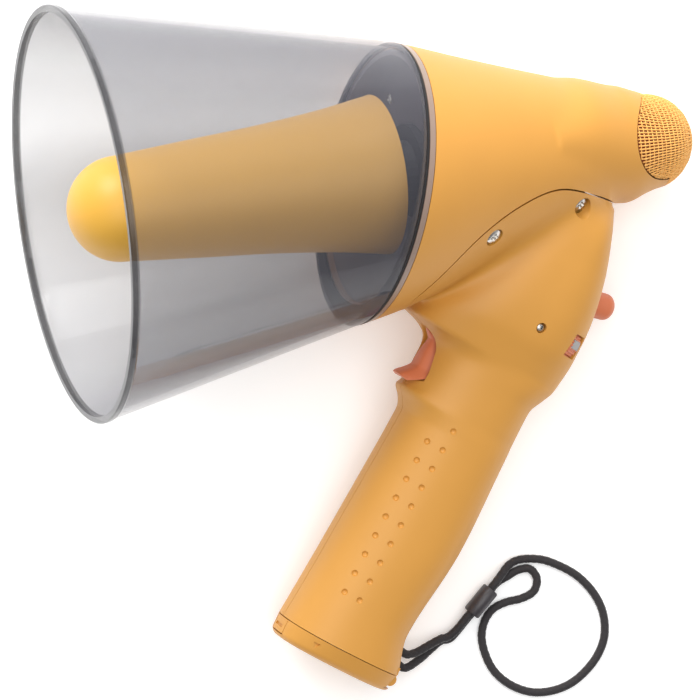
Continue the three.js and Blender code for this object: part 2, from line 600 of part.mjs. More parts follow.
// The strap lies on the surface, so it is made in the row frame
function addStrap() {
  const points = STRAP_ROUTE.map((point) => new THREE.Vector3(...point));
  const extrudePath = new THREE.CatmullRomCurve3(points, false, 'centripetal');
  const section = new THREE.Shape();
  section.absarc(0, 0, CORD_RADIUS, 0, 2 * Math.PI, false);
  const options = { steps: STRAP_STEPS, curveSegments: 4, bevelEnabled: false, extrudePath };
  put('strap_cord', new THREE.ExtrudeGeometry(section, options), braid, part);

  const [halfWidth, halfHeight] = SLIDER_HALF;
  const outline = new THREE.Shape();
  outline.absellipse(0, 0, halfHeight, halfWidth, 0, 2 * Math.PI);
  const slot = new THREE.Path();
  slot.absellipse(0, 0, halfHeight - 0.45, halfWidth - 0.6, 0, 2 * Math.PI);
  outline.holes.push(slot);
  const depth = SLIDER_LENGTH;
  const tube = new THREE.ExtrudeGeometry(outline, { depth, bevelEnabled: false, curveSegments: 6 });
  tube.translate(0, 0, -depth / 2).rotateY(Math.PI / 2);
  const slider = put('strap_slider', tube, darkPlastic, part);
  slider.position.set(...SLIDER_PLACE, halfHeight + 0.05);
  slider.rotation.z = SLIDER_TURN;
}

addHorn();
addDriver();
addElectronics();
addMicrophone();
addCasing();
addTrigger();
addButton();
addDial();
addBatteries();
addCover();

device.rotation.copy(LIE);
part.add(device);
part.updateMatrixWorld(true);
const box = new THREE.Box3().setFromObject(device, true);
device.position.set(-(box.min.x + box.max.x) / 2, -(box.min.y + box.max.y) / 2, -box.min.z);
addStrap();
part.updateMatrixWorld(true);

export default part;
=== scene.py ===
"""The looks of a handheld megaphone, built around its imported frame.

Shapes are modelled in millimetres in the device frame: x runs from the mouth of the horn to the
microphone, z is up as the megaphone is held, and y points to its right. Each piece is then placed
in the row frame, in metres, where the megaphone lies on its right side.
"""

import math

import bpy
import numpy as np
import openvdb
from mathutils import Matrix, Vector


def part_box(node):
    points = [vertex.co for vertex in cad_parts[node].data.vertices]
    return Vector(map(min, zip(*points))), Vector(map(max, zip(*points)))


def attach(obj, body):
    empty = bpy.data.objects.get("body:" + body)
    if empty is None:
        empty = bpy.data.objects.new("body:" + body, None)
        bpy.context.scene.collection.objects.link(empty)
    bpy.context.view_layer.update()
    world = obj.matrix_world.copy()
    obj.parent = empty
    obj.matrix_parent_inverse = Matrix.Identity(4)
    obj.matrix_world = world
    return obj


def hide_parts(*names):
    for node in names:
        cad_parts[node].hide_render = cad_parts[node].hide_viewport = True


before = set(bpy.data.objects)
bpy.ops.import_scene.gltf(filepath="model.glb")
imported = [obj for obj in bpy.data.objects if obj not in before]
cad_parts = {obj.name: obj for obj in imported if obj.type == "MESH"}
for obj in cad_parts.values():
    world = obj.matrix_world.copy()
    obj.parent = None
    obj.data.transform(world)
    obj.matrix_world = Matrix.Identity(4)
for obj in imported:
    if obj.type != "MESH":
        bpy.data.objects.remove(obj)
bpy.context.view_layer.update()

# ---------------------------------------------------------------- frames
MM = 0.001
LIE = Matrix.Rotation(math.radians(12.357), 3, "Y") @ Matrix.Rotation(math.radians(-78.035), 3, "X")
MAGNET_CENTRE = Vector((157.3, 0, 0))
magnet_low, magnet_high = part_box("driver_magnet")
DEVICE = (
    Matrix.Translation((magnet_low + magnet_high) / 2 - LIE @ MAGNET_CENTRE * MM)
    @ LIE.to_4x4()
    @ Matrix.Scale(MM, 4)
)
RAKE = math.radians(34.8)
RAKED = Matrix.Rotation(RAKE, 4, "Y")   # raked frame: x back from the mouth, -z down the handle

# ---------------------------------------------------------------- sizes, in millimetres
MOUTH_RADIUS = 78
BELL_TAPER = 0.212               # radius lost per millimetre of bell
BELL_WALL = 2.3
BELL_END = 150                   # where the bell's cone would end without the joint's cut
JOINT_X = 119.2                  # where the slanted bell joint crosses the horn's axis
JOINT_TILT = math.radians(15.1)
GASKET = (0.3, 1.2)              # distances behind the joint
FLANGE = (1.5, 3.85)
BODY_START = 4.15
THROAT_RADIUS = 9.5
WALL = 2.2
SPLIT = 0.15                     # half of the gap between the two handle halves
SEAM_GAP = 0.65                  # between the rear body and the handle halves
GRIP_BOTTOM = 96.5               # this and the next two: distances down the handle, raked frame
COVER_TOP = 96.8
COVER_BOTTOM = 104.5
LEDGE = -80.9                    # height of the ledge under the trigger
HINGE = (203.4, 99.2)            # of the battery cover: back and distance down the handle
HINGE_RADIUS = 2.5
HINGE_HOLE = 1.12                # radius of the hole for its pin
TRIGGER_PIVOT = (150, -34)       # back and distance down the handle
TRIGGER_REAR = 160.2
CHIN_GAP = (0.8, 0.3)            # under the trigger's front corner and under its rear
BUTTON_PLACE = (206.3, -61.6)    # x and z on the casing's back
BUTTON_TILT = math.radians(21.4)
DIAL_PLACE = (194, -15.6, 49)    # distance back, y and height in the raked frame
DIAL_TURN = math.radians(-55)    # its axis is parallel to the casing's surface there
DIAL_RADIUS = 8
DIAL_HALF = 3.2                  # half of its width
STRAP_HOLES = (88, 93.2)         # distances down the handle
CORD_RADIUS = 1.5
SLIDER_PLACE = (28.6, -111.8)    # x and y in the row frame
SLIDER_TURN = math.radians(42.1)

# [x, radius] of the cone behind the bell
BODY_PROFILE = [(90, 58.6), (109, 55.2), (123, 52.3), (136, 48.6), (158, 41.2), (178, 34.8),
                (198, 28.6), (216, 22.8), (240, 15)]
# [x, centre z, half height, half width] of the boss that carries the microphone
HEAD = [(186, 8.5, 14, 31), (205, 5.2, 22.1, 27.2), (222, -0.5, 23.1, 22.6), (231, -0.9, 20.2, 20.2),
        (236, -1.1, 18.6, 18.8)]
MICROPHONE = (234.2, -1.1, 18.8)        # x, z and radius of its ball
GRILLE_ARC = (238.4, 3, 17.5)           # x, z and radius of the body's edge around the grille
# [distance down the handle, front, rear, half width, squareness]
GRIP = [(-103, 176, 191, 17, 2.6), (-95, 166, 193.4, 24, 2.8), (-77, 154, 200.6, 27, 3),
        (-60, 147, 205, 27.5, 3), (-44, 141.5, 206.8, 26, 3), (-36, 138.6, 207.6, 23.5, 2.8),
        (-31, 138.6, 207.6, 22, 2.7), (-28.5, 146.6, 207.2, 21.4, 2.6), (-25, 152, 205.6, 21, 2.5),
        (-18, 153.4, 202.6, 20.3, 2.5), (-6, 152.6, 203.3, 19.9, 2.4), (-3.6, 151.4, 203.5, 19.8, 2.4),
        (0.5, 154.8, 203.7, 19.8, 2.4), (5, 156.9, 204, 19.6, 2.4), (43, 156.3, 206.2, 19.2, 2.4),
        (80, 155.5, 203.4, 19, 2.4), (GRIP_BOTTOM, 154.8, 208.4, 19.2, 2.4)]
SEAM = [(121, -62), (122.4, -45.5), (131, -35), (146.5, -21), (165, -11.8), (183.5, -8.6),
        (204.7, -15.8), (219, -23.4), (240, -34)]
# The trigger's arch, as [height above the raked origin, half width], and its finger face
TRIGGER_ARCH = [(-20, 8.9), (12, 8.9), (15.6, 8.4), (18.9, 7.6), (22.7, 6.4), (25, 5.3), (26.8, 3.9),
                (27.8, 2)]
TRIGGER_FACE = [(0, 146), (6, 146.4), (8, 147.1), (9.5, 148.6), (11, 150.2), (13.8, 152), (18, 152),
                (24.6, 152.5), (26, 151.2), (27.8, 149)]
# The trigger's section, as [share of the half width, depth behind the finger face]
TRIGGER_SECTION = [(0, 0), (0.3, 0.2), (0.45, 0.6), (0.55, 1.3), (0.75, 3.4), (0.93, 6), (1, 8)]
ARCH_GAP = 0.55
CUP_SCREW_RING = 34              # radius on which the four screws of the base cup stand
SHANK = 0.43                     # a screw's shank radius, as a share of its head's
# Screws of the left casing half, as [place, outward direction, head radius, shank length]
CONE_OUTWARD = (0.281, -0.813, -0.512)
SCREWS = [((154.3, -35.8, -22.7), CONE_OUTWARD, 3.5, 10), ((195.6, -23.6, -17.6), CONE_OUTWARD, 3.5, 10),
          ((175.3, -26.2, -62.4), (0, -1, 0), 1.9, 9)]


# ---------------------------------------------------------------- camera
def add_camera():
    toward = Vector((-0.3282, -0.915, 0.2345)).normalized()
    up = Vector((0.1396, 0.1985, 0.9701))
    right = up.cross(toward).normalized()
    up = toward.cross(right)
    target = Vector((106.5, 0, -66.6))
    distance = 1332
    camera = bpy.data.objects.new("camera", bpy.data.cameras.new("camera"))
    bpy.context.scene.collection.objects.link(camera)
    turn = Matrix((right, up, toward)).transposed()
    camera.matrix_world = Matrix.Translation(DEVICE @ (target + distance * toward)) @ (LIE @ turn).to_4x4()
    camera.data.lens = 178.4
    camera.data.sensor_width = 36
    camera.data.clip_end = 10
    bpy.context.scene.camera = camera


add_camera()


# ---------------------------------------------------------------- mesh helpers
def made(name, vertices, faces):
    """A mesh object from points and faces."""
    mesh = bpy.data.meshes.new(name)
    mesh.from_pydata(np.asarray(vertices, float).tolist(), [], [list(map(int, f)) for f in faces])
    mesh.validate()
    obj = bpy.data.objects.new(name, mesh)
    bpy.context.scene.collection.objects.link(obj)
    return obj


def discard(obj):
    """Removes an object and its mesh."""
    mesh = obj.data
    bpy.data.objects.remove(obj)
    bpy.data.meshes.remove(mesh)


def modified(obj, kind, **settings):
    """Applies one modifier to the object's mesh."""
    modifier = obj.modifiers.new(kind.lower(), kind)
    for key, value in settings.items():
        setattr(modifier, key, value)
    graph = bpy.context.evaluated_depsgraph_get()
    result = bpy.data.meshes.new_from_object(obj.evaluated_get(graph))
    obj.modifiers.clear()
    old = obj.data
    obj.data = result
    bpy.data.meshes.remove(old)
    return obj


def cut(obj, *tools, operation="DIFFERENCE"):
    """Cuts the tools out of an object, and discards them."""
    for tool in tools:
        modified(obj, "BOOLEAN", object=tool, operation=operation, solver="MANIFOLD")
        discard(tool)
    return obj


def keep(obj, tool):
    return cut(obj, tool, operation="INTERSECT")


def join(obj, *tools):
    return cut(obj, *tools, operation="UNION")


def copied(obj):
    twin = obj.copy()
    twin.data = obj.data.copy()
    bpy.context.scene.collection.objects.link(twin)
    return twin


def moved(obj, matrix):
    obj.data.transform(matrix)
    if matrix.determinant() < 0:
        obj.data.flip_normals()
    return obj


def rings_mesh(name, rings, close_ends=True):
    """A tube through closed rings of points, with flat ends."""
    rings = np.asarray(rings, float)
    count, around = rings.shape[:2]
    index = np.arange(count * around).reshape(count, around)
    after = np.roll(index, -1, axis=1)
    quads = np.stack([index[:-1], after[:-1], after[1:], index[1:]], axis=-1).reshape(-1, 4).tolist()
    if close_ends:
        quads += [index[0][::-1].tolist(), index[-1].tolist()]
    else:
        last, last_after = index[-1], after[-1]
        quads += np.stack([last, last_after, after[0], index[0]], axis=-1).tolist()
    obj = made(name, rings.reshape(-1, 3), quads)
    return outward(obj)


def outward(obj):
    """Turns a closed mesh's faces out."""
    mesh = obj.data
    mesh.calc_loop_triangles()
    corners = np.zeros(len(mesh.loop_triangles) * 3, np.int32)
    mesh.loop_triangles.foreach_get("vertices", corners)
    points = np.zeros(len(mesh.vertices) * 3, np.float32)
    mesh.vertices.foreach_get("co", points)
    a, b, c = points.reshape(-1, 3)[corners.reshape(-1, 3)].astype(float).transpose(1, 0, 2)
    if np.einsum("ij,ij->", a, np.cross(b, c)) < 0:
        mesh.flip_normals()
    return obj


def turned(name, profile, segments=96):
    """A body turned about the x axis. The profile is [x, radius], a closed outline that may
    start and end on the axis."""
    profile = np.asarray(profile, float)
    profile[:, 1] = np.maximum(profile[:, 1], 0.001)
    angle = np.linspace(0, 2 * np.pi, segments, endpoint=False)
    rings = np.stack([
        np.broadcast_to(profile[:, :1], (len(profile), segments)),
        profile[:, 1:] * np.cos(angle),
        profile[:, 1:] * np.sin(angle)], axis=-1)
    starts_and_ends_on_axis = profile[0, 1] < 0.01 and profile[-1, 1] < 0.01
    return rings_mesh(name, rings, close_ends=starts_and_ends_on_axis)


def rod(x0, x1, radius, segments=48):
    return turned("rod", [(x0, 0), (x0, radius), (x1, radius), (x1, 0)], segments)


def cross_rod(x, z, radius, y0, y1, segments=48):
    """A rod along y, at a place in x and z."""
    return moved(rod(y0, y1, radius, segments),
                 Matrix.Translation((x, 0, z)) @ Matrix.Rotation(math.pi / 2, 4, "Z"))


def slab(name, outline, y0, y1):
    """A side outline in x and z with thickness along y."""
    rings = [[(x, y, z) for x, z in outline] for y in (y0, y1)]
    return rings_mesh(name, rings)


def block(x0, x1, y0, y1, z0, z1):
    return slab("block", [(x0, z0), (x1, z0), (x1, z1), (x0, z1)], y0, y1)


JOINT = Matrix.Translation((JOINT_X, 0, 0)) @ Matrix.Rotation(JOINT_TILT, 4, "Y")


def behind_joint(distance):
    """Everything behind a plane parallel to the bell joint."""
    return moved(block(distance, 400, -200, 200, -200, 200), JOINT)


def before_body():
    """The room of the bell, down to below the cone."""
    return moved(block(-120, BODY_START, -200, 200, -90, 200), JOINT)


def through(table):
    """Smooth curves through a table's columns against its first one, without overshoot."""
    table = np.asarray(table, float)
    knots, values = table[:, 0], table[:, 1:]
    step = np.diff(knots)[:, None]
    slope = np.diff(values, axis=0) / step
    tangent = np.vstack([slope[:1], (slope[1:] + slope[:-1]) / 2, slope[-1:]])
    turns = slope[1:] * slope[:-1] <= 0
    tangent[1:-1][turns] = 0
    for side in (tangent[:-1], tangent[1:]):
        limit = 3 * np.abs(slope)
        np.clip(side, -limit, limit, out=side)

    def at(x):
        x = np.clip(np.asarray(x, float), knots[0], knots[-1])
        i = np.clip(np.searchsorted(knots, x) - 1, 0, len(knots) - 2)
        width = knots[i + 1] - knots[i]
        u = (x - knots[i]) / width
        out = []
        for column in range(values.shape[1]):
            v, m = values[:, column], tangent[:, column]
            out.append((1 + 2 * u) * (1 - u) ** 2 * v[i] + u * (1 - u) ** 2 * width * m[i]
                       + u * u * (3 - 2 * u) * v[i + 1] + u * u * (u - 1) * width * m[i + 1])
        return out
    return at


# ---------------------------------------------------------------- materials
def material(name, colour, roughness, metallic=0.0):
    """A new material, with its node tree and its shader."""
    made_material = bpy.data.materials.new(name)
    made_material.use_nodes = True
    shader = made_material.node_tree.nodes["Principled BSDF"]
    shader.inputs["Base Color"].default_value = (*colour, 1)
    shader.inputs["Roughness"].default_value = roughness
    shader.inputs["Metallic"].default_value = metallic
    return made_material, made_material.node_tree, shader


def node(tree, kind, **inputs):
    """A new shader node, whose inputs are values or other nodes' outputs."""
    new = tree.nodes.new(kind)
    for key, value in inputs.items():
        if isinstance(value, bpy.types.NodeSocket):
            tree.links.new(value, new.inputs[key])
        else:
            new.inputs[key].default_value = value
    return new


def plastic(name, colour, roughness=0.5, grain=0.00035, bump=0.00004, mottle=0.06):
    """Moulded plastic: a fine spark-eroded grain, and colour and gloss that drift a little."""
    made_material, tree, shader = material(name, colour, roughness)
    where = tree.nodes.new("ShaderNodeTexCoord").outputs["Object"]
    drift = node(tree, "ShaderNodeTexNoise", Vector=where, Scale=28.0, Detail=3.0)
    fine = node(tree, "ShaderNodeTexNoise", Vector=where, Scale=1 / grain, Detail=4.0, Roughness=0.6)
    mix = tree.nodes.new("ShaderNodeMix")
    mix.data_type = "RGBA"
    tree.links.new(drift.outputs["Fac"], mix.inputs["Factor"])
    mix.inputs[6].default_value = (*[c * (1 - mottle) for c in colour], 1)
    mix.inputs[7].default_value = (*[min(1, c * (1 + mottle)) for c in colour], 1)
    tree.links.new(mix.outputs[2], shader.inputs["Base Color"])
    gloss = node(tree, "ShaderNodeMapRange", Value=fine.outputs["Fac"])
    gloss.inputs["To Min"].default_value = roughness - 0.07
    gloss.inputs["To Max"].default_value = roughness + 0.07
    tree.links.new(gloss.outputs["Result"], shader.inputs["Roughness"])
    relief = node(tree, "ShaderNodeBump", Height=fine.outputs["Fac"], Strength=0.35, Distance=bump)
    tree.links.new(relief.outputs["Normal"], shader.inputs["Normal"])
    return made_material


def metal(name, colour, roughness=0.25, scale=900.0):
    """Plated or machined metal with fine scratches."""
    made_material, tree, shader = material(name, colour, roughness, 1.0)
    where = tree.nodes.new("ShaderNodeTexCoord").outputs["Object"]
    fine = node(tree, "ShaderNodeTexNoise", Vector=where, Scale=scale, Detail=5.0, Roughness=0.7)
    gloss = node(tree, "ShaderNodeMapRange", Value=fine.outputs["Fac"])
    gloss.inputs["To Min"].default_value = roughness - 0.08
    gloss.inputs["To Max"].default_value = roughness + 0.12
    tree.links.new(gloss.outputs["Result"], shader.inputs["Roughness"])
    relief = node(tree, "ShaderNodeBump", Height=fine.outputs["Fac"], Strength=0.15, Distance=0.00002)
    tree.links.new(relief.outputs["Normal"], shader.inputs["Normal"])
    return made_material


def smoky(name, colour, least, most):
    """Tinted clear plastic: part of the light passes, more of it is lost where the wall is seen
    edge on, and the surface is glossy."""
    made_material, tree, shader = material(name, colour, 0.05)
    edge = node(tree, "ShaderNodeLayerWeight", Blend=0.4)
    cover = node(tree, "ShaderNodeMapRange", Value=edge.outputs["Facing"])
    cover.inputs["To Min"].default_value = least
    cover.inputs["To Max"].default_value = most
    tree.links.new(cover.outputs["Result"], shader.inputs["Alpha"])
    return made_material


YELLOW = plastic("yellow_casing", (0.64, 0.30, 0.052), 0.48)
NOSE = plastic("yellow_plastic", (0.69, 0.37, 0.045), 0.46)
CORAL = plastic("coral_plastic", (0.66, 0.19, 0.084), 0.45)
CHARCOAL = plastic("charcoal_plastic", (0.155, 0.135, 0.15), 0.5)
SMOKY_BAND = plastic("smoky_band", (0.30, 0.21, 0.165), 0.3)
RUBBER = plastic("black_rubber", (0.012, 0.011, 0.012), 0.7)
DARK = plastic("dark_plastic", (0.022, 0.023, 0.026), 0.55)
SLIDER = plastic("slider_plastic", (0.045, 0.04, 0.045), 0.4)
MARK = plastic("grey_mark", (0.36, 0.34, 0.33), 0.5)
NICKEL = metal("nickel_screw", (0.62, 0.60, 0.57), 0.24)
STEEL = metal("steel", (0.42, 0.43, 0.45), 0.35)
COPPER = metal("copper", (0.62, 0.28, 0.13), 0.3)
ALUMINIUM = metal("aluminium_can", (0.6, 0.6, 0.62), 0.35)
FERRITE = plastic("ferrite", (0.03, 0.03, 0.033), 0.65, grain=0.0008, bump=0.0001, mottle=0.25)
THREAD = plastic("grille_thread", (0.88, 0.46, 0.12), 0.6)
BACKING = plastic("grille_backing", (0.20, 0.035, 0.008), 0.8)
FOAM = plastic("foam", (0.30, 0.10, 0.03), 0.95, grain=0.0006, bump=0.0005, mottle=0.5)
BOARD = plastic("board_green", (0.02, 0.12, 0.04), 0.45, grain=0.001, mottle=0.3)
SLEEVE = plastic("cell_sleeve", (0.03, 0.08, 0.26), 0.35)
BELL = smoky("smoky_bell", (0.13, 0.13, 0.155), 0.14, 0.68)
BELL_RIM = smoky("smoky_rim", (0.03, 0.03, 0.035), 0.62, 0.95)


# ---------------------------------------------------------------- placing pieces
def piece(obj, name, body, finish, stands_for=(), smooth=35):
    """Names a piece, gives it its finish, and lets it ride on a body in the row frame."""
    obj.name = name
    obj.data.name = name
    if finish is not None:
        obj.data.materials.clear()
        obj.data.materials.append(finish)
    obj.data.transform(DEVICE)
    shade(obj, smooth)
    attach(obj, body)
    if stands_for:
        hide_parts(*stands_for)
    return obj


def shade(obj, angle):
    """Smooth shading, with edges sharper than the angle kept."""
    mesh = obj.data
    mesh.shade_smooth()
    mesh.set_sharp_from_angle(angle=math.radians(angle))


# ---------------------------------------------------------------- casing
GRID_LOW = np.array((68.0, -60.0, -206.0))
GRID_HIGH = np.array((252.0, 60.0, 62.0))


def in_rake(obj):
    return moved(obj, RAKED)


BOSS_BLEND = 3.0                 # reach of the soft hollow around the microphone's boss
FRONT_BLEND, SIDE_BLEND = 2.5, 7.5   # and of the one around the grip, in front and on its sides
FAR = 9.0                        # distances are kept only this far from the surface


def as_distance(measure, step):
    """Turns a form's measure, which is 1 on its surface, into a distance near that surface."""
    slopes = np.gradient(measure, step)
    steep = np.sqrt(sum(slope**2 for slope in slopes))
    return (measure - 1) / np.maximum(steep, 0.002)


def blended(a, b, reach):
    """The union of two forms, with a soft hollow where they meet."""
    share = np.clip(0.5 + 0.5 * (b - a) / reach, 0, 1)
    return b * (1 - share) + a * share - reach * share * (1 - share)


def sampled(table, low, high):
    """A table's smooth curves, sampled finely so that whole grids can be looked up."""
    at = np.linspace(low, high, 600)
    columns = through(table)(at)
    return lambda x: [np.interp(x, at, column).astype(np.float32) for column in columns]


def casing_field(step):
    """Distance to the casing's outer surface on a grid in the device frame."""
    axes = [np.arange(low, high + step, step, dtype=np.float32) for low, high in zip(GRID_LOW, GRID_HIGH)]
    x, y, z = np.meshgrid(*axes, indexing="ij")
    radius, = sampled(BODY_PROFILE, 90, 240)(x)
    cone = np.maximum((np.hypot(y, z) - radius) * 0.95, x - 236)
    centre, half_height, half_width = sampled(HEAD, 186, 236)(x)
    boss = as_distance(np.hypot(y / half_width, (z - centre) / half_height), step)
    boss = np.maximum(np.maximum(boss, x - 236), 186 - x)
    ball_x, ball_z, ball_radius = MICROPHONE
    ball = np.sqrt((x - ball_x) ** 2 + y**2 + (z - ball_z) ** 2) - ball_radius
    back = x * math.cos(RAKE) - z * math.sin(RAKE)
    down = -(x * math.sin(RAKE) + z * math.cos(RAKE))
    front, rear, half, square = sampled(GRIP, -103, GRIP_BOTTOM)(down)
    across = np.abs(back - (front + rear) / 2) / ((rear - front) / 2)
    grip = as_distance((across**square + (np.abs(y) / half) ** square) ** (1 / square), step)
    grip = np.maximum(grip, -103 - down)
    body = blended(cone, np.minimum(boss, ball), BOSS_BLEND)
    sideways = np.clip(np.abs(y) / 16 - 0.4, 0, 1)
    reach = FRONT_BLEND + (SIDE_BLEND - FRONT_BLEND) * sideways
    return np.clip(blended(body, grip, reach), -FAR, FAR)


def surface(name, field, level, step):
    """A closed mesh where the field has a given level."""
    grid = openvdb.FloatGrid(FAR)
    grid.copyFromArray(np.ascontiguousarray(field, np.float32))
    points, triangles, quads = grid.convertToPolygons(isovalue=level, adaptivity=0.0)
    return outward(made(name, points * step + GRID_LOW, [*triangles.tolist(), *quads.tolist()]))


def below_seam(drop):
    """Everything below the seam between the rear body and the handle, moved down by the drop."""
    curve = catmull_rom([(x, z, 0) for x, z in SEAM], 12)[:, :2]
    outline = [(x, z - drop) for x, z in curve]
    outline += [(300, -34 - drop), (300, -260), (0, -260), (0, -150), (100, -100), (121, -80)]
    return slab("below_seam", outline, -90, 90)


def grille_reach(inset):
    """Where the grille takes over from the body: a round edge in the side view, straight below."""
    x, z, radius = GRILLE_ARC
    return join(cross_rod(x, z, radius - inset, -60, 60, 96),
                block(x + inset, x + 30, -60, 60, -40, z + radius - inset))


def aim(place, outward_direction, side=1):
    """The placing of a screw, made along x with its head at +x, on either side."""
    x, y, z = outward_direction
    turn = Vector((1, 0, 0)).rotation_difference(Vector((x, y * side, z)))
    return Matrix.Translation((place[0], place[1] * side, place[2])) @ turn.to_matrix().to_4x4()


BUTTON = Matrix.Translation((BUTTON_PLACE[0], 0, BUTTON_PLACE[1])) @ Matrix.Rotation(BUTTON_TILT, 4, "Y")


def arch_at(up):
    """Half width of the trigger's arch."""
    return float(through(TRIGGER_ARCH)([up])[0][0])


def trigger_slot():
    heights = [-20, *np.linspace(8, 27.8, 26)]
    edge = [(arch_at(up) + ARCH_GAP, up + (ARCH_GAP if up > 20 else 0)) for up in heights]
    outline = edge + [(-y, up) for y, up in reversed(edge)]
    arch = rings_mesh("arch", [[(back, y, up) for y, up in outline] for back in (120, 158)])
    return keep(in_rake(arch), block(90, 200, -20, 20, LEDGE, 0))


def dimples():
    """Small pits in two rows down each side of the grip."""
    centres = [(171.5, down) for down in np.arange(2.3, 77, 8.25)]
    centres += [(165, down) for down in np.arange(10.4, 77, 8.25)]
    at = through(GRIP)
    pits = []
    for back, down in centres:
        front, rear, half, square = (float(v[0]) for v in at([down]))
        across = abs(back - (front + rear) / 2) / ((rear - front) / 2)
        y = half * (1 - across**square) ** (1 / square)
        for side in (-1, 1):
            pits.append(ball(1.35, (back, side * (y + 0.45), -down)))
    return in_rake(together(pits))


def ball(radius, place, rings=12, around=18):
    profile = [(-radius * math.cos(a), radius * math.sin(a)) for a in np.linspace(0, math.pi, rings)]
    return moved(turned("ball", profile, around), Matrix.Translation(place))


def together(parts):
    """One object from several that don't touch."""
    vertices, faces = [], []
    for part in parts:
        start = len(vertices)
        vertices += [tuple(v.co) for v in part.data.vertices]
        faces += [[start + i for i in polygon.vertices] for polygon in part.data.polygons]
        discard(part)
    return made("together", vertices, faces)


def hinge_pin_hole():
    x, down = HINGE
    return in_rake(cross_rod(x, -down, HINGE_HOLE, -10.8, 10.8, 32))


def hinge_lug(side):
    """The ear on one handle half that holds an end of the cover's pin."""
    x, down = HINGE
    y0, y1 = (-11.4, -5) if side < 0 else (5, 11.4)
    web = block(x - HINGE_RADIUS, x + 1.5, y0, y1, -down, -93.5)
    return in_rake(join(cross_rod(x, -down, HINGE_RADIUS, y0, y1), web))


DIAL = RAKED @ Matrix.Translation(DIAL_PLACE) @ Matrix.Rotation(DIAL_TURN, 4, "Z")


def dial_window():
    window = block(3, 20, -DIAL_HALF - 0.6, DIAL_HALF + 0.6, -4.9, 4.7)
    room = cross_rod(0, 0, DIAL_RADIUS + 0.5, -DIAL_HALF - 0.5, DIAL_HALF + 0.5, 64)
    return moved(join(window, room), DIAL)


def add_casing():
    step = 1.0
    field = casing_field(step)
    outer = cut(surface("outer", field, 0.0, step), before_body())
    inner = surface("inner", field, -WALL, step)
    below = in_rake(block(0, 400, -90, 90, -300, -GRIP_BOTTOM))
    outer = cut(outer, below)
    shell = cut(copied(outer), copied(inner))

    body = cut(copied(shell), below_seam(-SEAM_GAP / 2), grille_reach(0))
    piece(body, "rear_body_looks", "megaphone", YELLOW, ["rear_body"])

    casing = keep(shell, below_seam(SEAM_GAP / 2))
    for place, out, head, length in SCREWS:
        for side in (1, -1):
            boss = moved(rod(-length - 1, -1.2, head + 1.2, 32), aim(place, out, side))
            casing = join(casing, keep(boss, copied(outer)))
    casing = cut(casing, trigger_slot(), moved(rod(-8, 14, 5.8, 64), BUTTON), dial_window(), dimples())
    casing = join(casing, hinge_lug(-1), hinge_lug(1))
    casing = cut(casing, hinge_pin_hole())
    for down in STRAP_HOLES:
        hole = moved(rod(0, 10, CORD_RADIUS + 0.4, 32), Matrix.Translation((200, 0, -down)))
        casing = cut(casing, in_rake(hole))
    for i, (place, out, head, length) in enumerate(SCREWS):
        for side in (1, -1) if i < 2 else (1,):
            place_here = aim(place, out, side)
            casing = cut(casing, moved(rod(-2, 12, head * 1.1, 48), place_here),
                         moved(rod(-length - 3, -1.9, head * SHANK + 0.3, 24), place_here))
    right = keep(copied(casing), block(0, 300, SPLIT, 90, -260, 60))
    left = keep(casing, block(0, 300, -90, -SPLIT, -260, 60))
    piece(left, "handle_left_looks", "megaphone", YELLOW, ["handle_left"])
    piece(right, "handle_right_looks", "megaphone", YELLOW, ["handle_right"])
    discard(outer)
    discard(inner)


# ---------------------------------------------------------------- horn
def cone_form(extra, low=95, high=150):
    x = np.linspace(low, high, 40)
    radius, = through(BODY_PROFILE)(x)
    profile = [(low, 0), *zip(x, radius + extra), (high, 0)]
    return turned("cone", profile, 160)


def bell_radius(x):
    return MOUTH_RADIUS - BELL_TAPER * x


def add_bell():
    rim, end = 2.8, BELL_END
    profile = [(0, MOUTH_RADIUS - 2.6), (0, MOUTH_RADIUS - 0.5), (0.5, MOUTH_RADIUS),
               (2.0, MOUTH_RADIUS), (2.4, MOUTH_RADIUS - 0.3), (rim, bell_radius(rim)),
               (end, bell_radius(end)), (end, bell_radius(end) - BELL_WALL),
               (rim, bell_radius(rim) - BELL_WALL)]
    bell = cut(turned("bell", profile, 192), behind_joint(0))
    bell.data.materials.clear()
    bell.data.materials.append(BELL)
    bell.data.materials.append(BELL_RIM)
    for polygon in bell.data.polygons:
        polygon.material_index = int(polygon.center.x < rim - 0.1)
    piece(bell, "bell_looks", "megaphone", None, ["bell"])


def band(inner, outer, near, far):
    """A slanted ring between two distances behind the joint."""
    inside = bell_radius(120) - inner
    tube = turned("band", [(95, inside), (95, 60), (BELL_END, 60), (BELL_END, inside)], 160)
    return cut(keep(keep(tube, cone_form(outer)), behind_joint(near)), behind_joint(far))


def cup_screw_places():
    corners = [math.radians(angle) for angle in (45, 135, 225, 315)]
    return [(CUP_SCREW_RING * math.cos(a), CUP_SCREW_RING * math.sin(a)) for a in corners]


